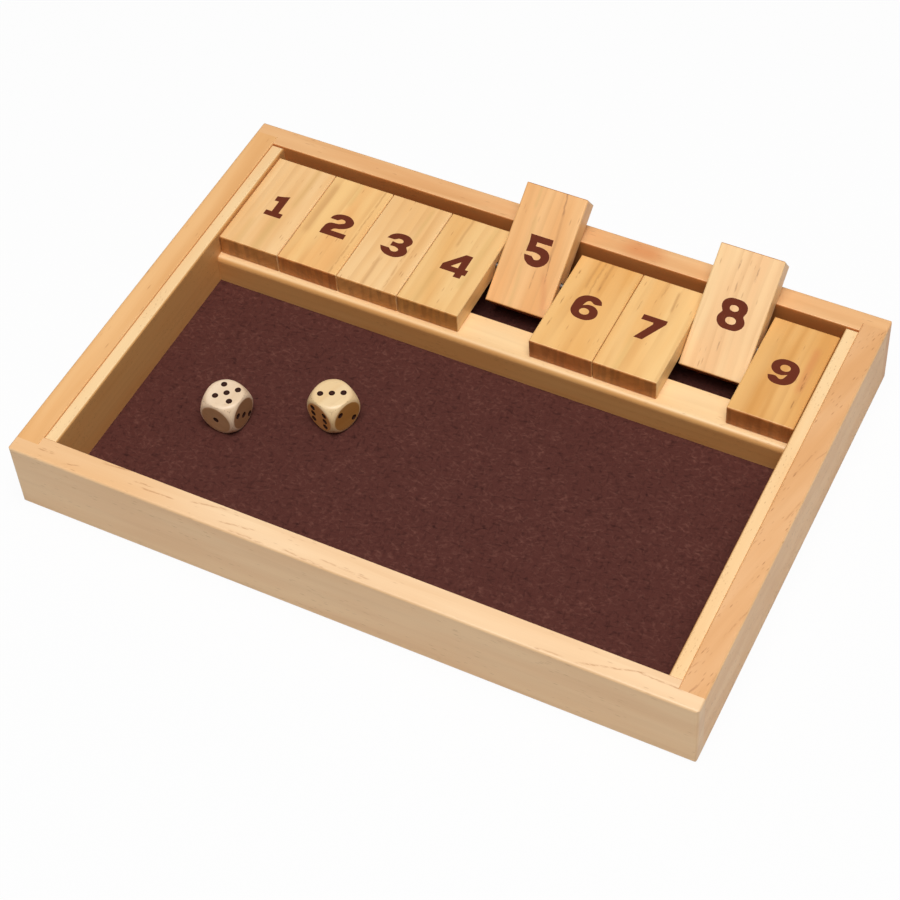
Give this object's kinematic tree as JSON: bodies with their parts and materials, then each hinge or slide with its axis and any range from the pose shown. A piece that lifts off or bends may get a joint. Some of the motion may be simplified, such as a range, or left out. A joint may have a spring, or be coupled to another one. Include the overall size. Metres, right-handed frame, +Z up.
{
  "type": "shut the box game",
  "caption": "Low wooden dice game box with a felt-lined throwing tray, a row of numbered tiles that flip over on a steel rod, and rounded wooden dice.",
  "frame": {"origin": "on the table, below the middle of the whole game's bounding box", "axes": "+X along the row of tiles from 1 to 9, +Y from the throwing tray to the tiles, +Z up"},
  "size_m": [0.29, 0.2046, 0.0502],
  "materials": {
    "rail_wood": "clear satin varnish",
    "side_wood": "clear satin varnish",
    "strip_wood": "clear satin varnish",
    "panel_wood": "bare plywood",
    "tile_wood": "clear satin varnish",
    "die_wood": "smooth turned wood",
    "felt": "short brown felt",
    "rod_steel": "drawn steel"
  },
  "bodies": {
    "box": {"front_rail": "rail_wood", "back_rail": "rail_wood", "left_rail": "side_wood", "right_rail": "side_wood", "left_strip": "strip_wood", "right_strip": "strip_wood", "ledge": "strip_wood", "base_panel": "panel_wood", "felt": "felt", "hinge_rod": "rod_steel"},
    "tile_1_body": {"tile_1": "tile_wood"},
    "tile_2_body": {"tile_2": "tile_wood"},
    "tile_3_body": {"tile_3": "tile_wood"},
    "tile_4_body": {"tile_4": "tile_wood"},
    "tile_5_body": {"tile_5": "tile_wood"},
    "tile_6_body": {"tile_6": "tile_wood"},
    "tile_7_body": {"tile_7": "tile_wood"},
    "tile_8_body": {"tile_8": "tile_wood"},
    "tile_9_body": {"tile_9": "tile_wood"},
    "left_die_body": {"left_die": "die_wood"},
    "right_die_body": {"right_die": "die_wood"}
  },
  "joints": [
    {"name": "tile_1_flip", "type": "hinge", "parent": "box", "child": "tile_1_body", "pos_m": [0, 0.06926, 0.02577], "axis": [-1, 0, 0], "range_deg": [0, 145.32]},
    {"name": "tile_2_flip", "type": "hinge", "parent": "box", "child": "tile_2_body", "pos_m": [0, 0.06926, 0.02577], "axis": [-1, 0, 0], "range_deg": [0, 145.32]},
    {"name": "tile_3_flip", "type": "hinge", "parent": "box", "child": "tile_3_body", "pos_m": [0, 0.06926, 0.02577], "axis": [-1, 0, 0], "range_deg": [0, 145.32]},
    {"name": "tile_4_flip", "type": "hinge", "parent": "box", "child": "tile_4_body", "pos_m": [0, 0.06926, 0.02577], "axis": [-1, 0, 0], "range_deg": [0, 145.32]},
    {"name": "tile_5_flip", "type": "hinge", "parent": "box", "child": "tile_5_body", "pos_m": [0, 0.06926, 0.02577], "axis": [-1, 0, 0], "range_deg": [-145.32, 0]},
    {"name": "tile_6_flip", "type": "hinge", "parent": "box", "child": "tile_6_body", "pos_m": [0, 0.06926, 0.02577], "axis": [-1, 0, 0], "range_deg": [0, 145.32]},
    {"name": "tile_7_flip", "type": "hinge", "parent": "box", "child": "tile_7_body", "pos_m": [0, 0.06926, 0.02577], "axis": [-1, 0, 0], "range_deg": [0, 145.32]},
    {"name": "tile_8_flip", "type": "hinge", "parent": "box", "child": "tile_8_body", "pos_m": [0, 0.06926, 0.02577], "axis": [-1, 0, 0], "range_deg": [-145.32, 0]},
    {"name": "tile_9_flip", "type": "hinge", "parent": "box", "child": "tile_9_body", "pos_m": [0, 0.06926, 0.02577], "axis": [-1, 0, 0], "range_deg": [0, 145.32]},
    {"name": "left_die_lift", "type": "slide", "parent": "box", "child": "left_die_body", "axis": [0, 0, 1], "range_m": [0, 0.08]},
    {"name": "right_die_lift", "type": "slide", "parent": "box", "child": "right_die_body", "axis": [0, 0, 1], "range_m": [0, 0.08]}
  ]
}
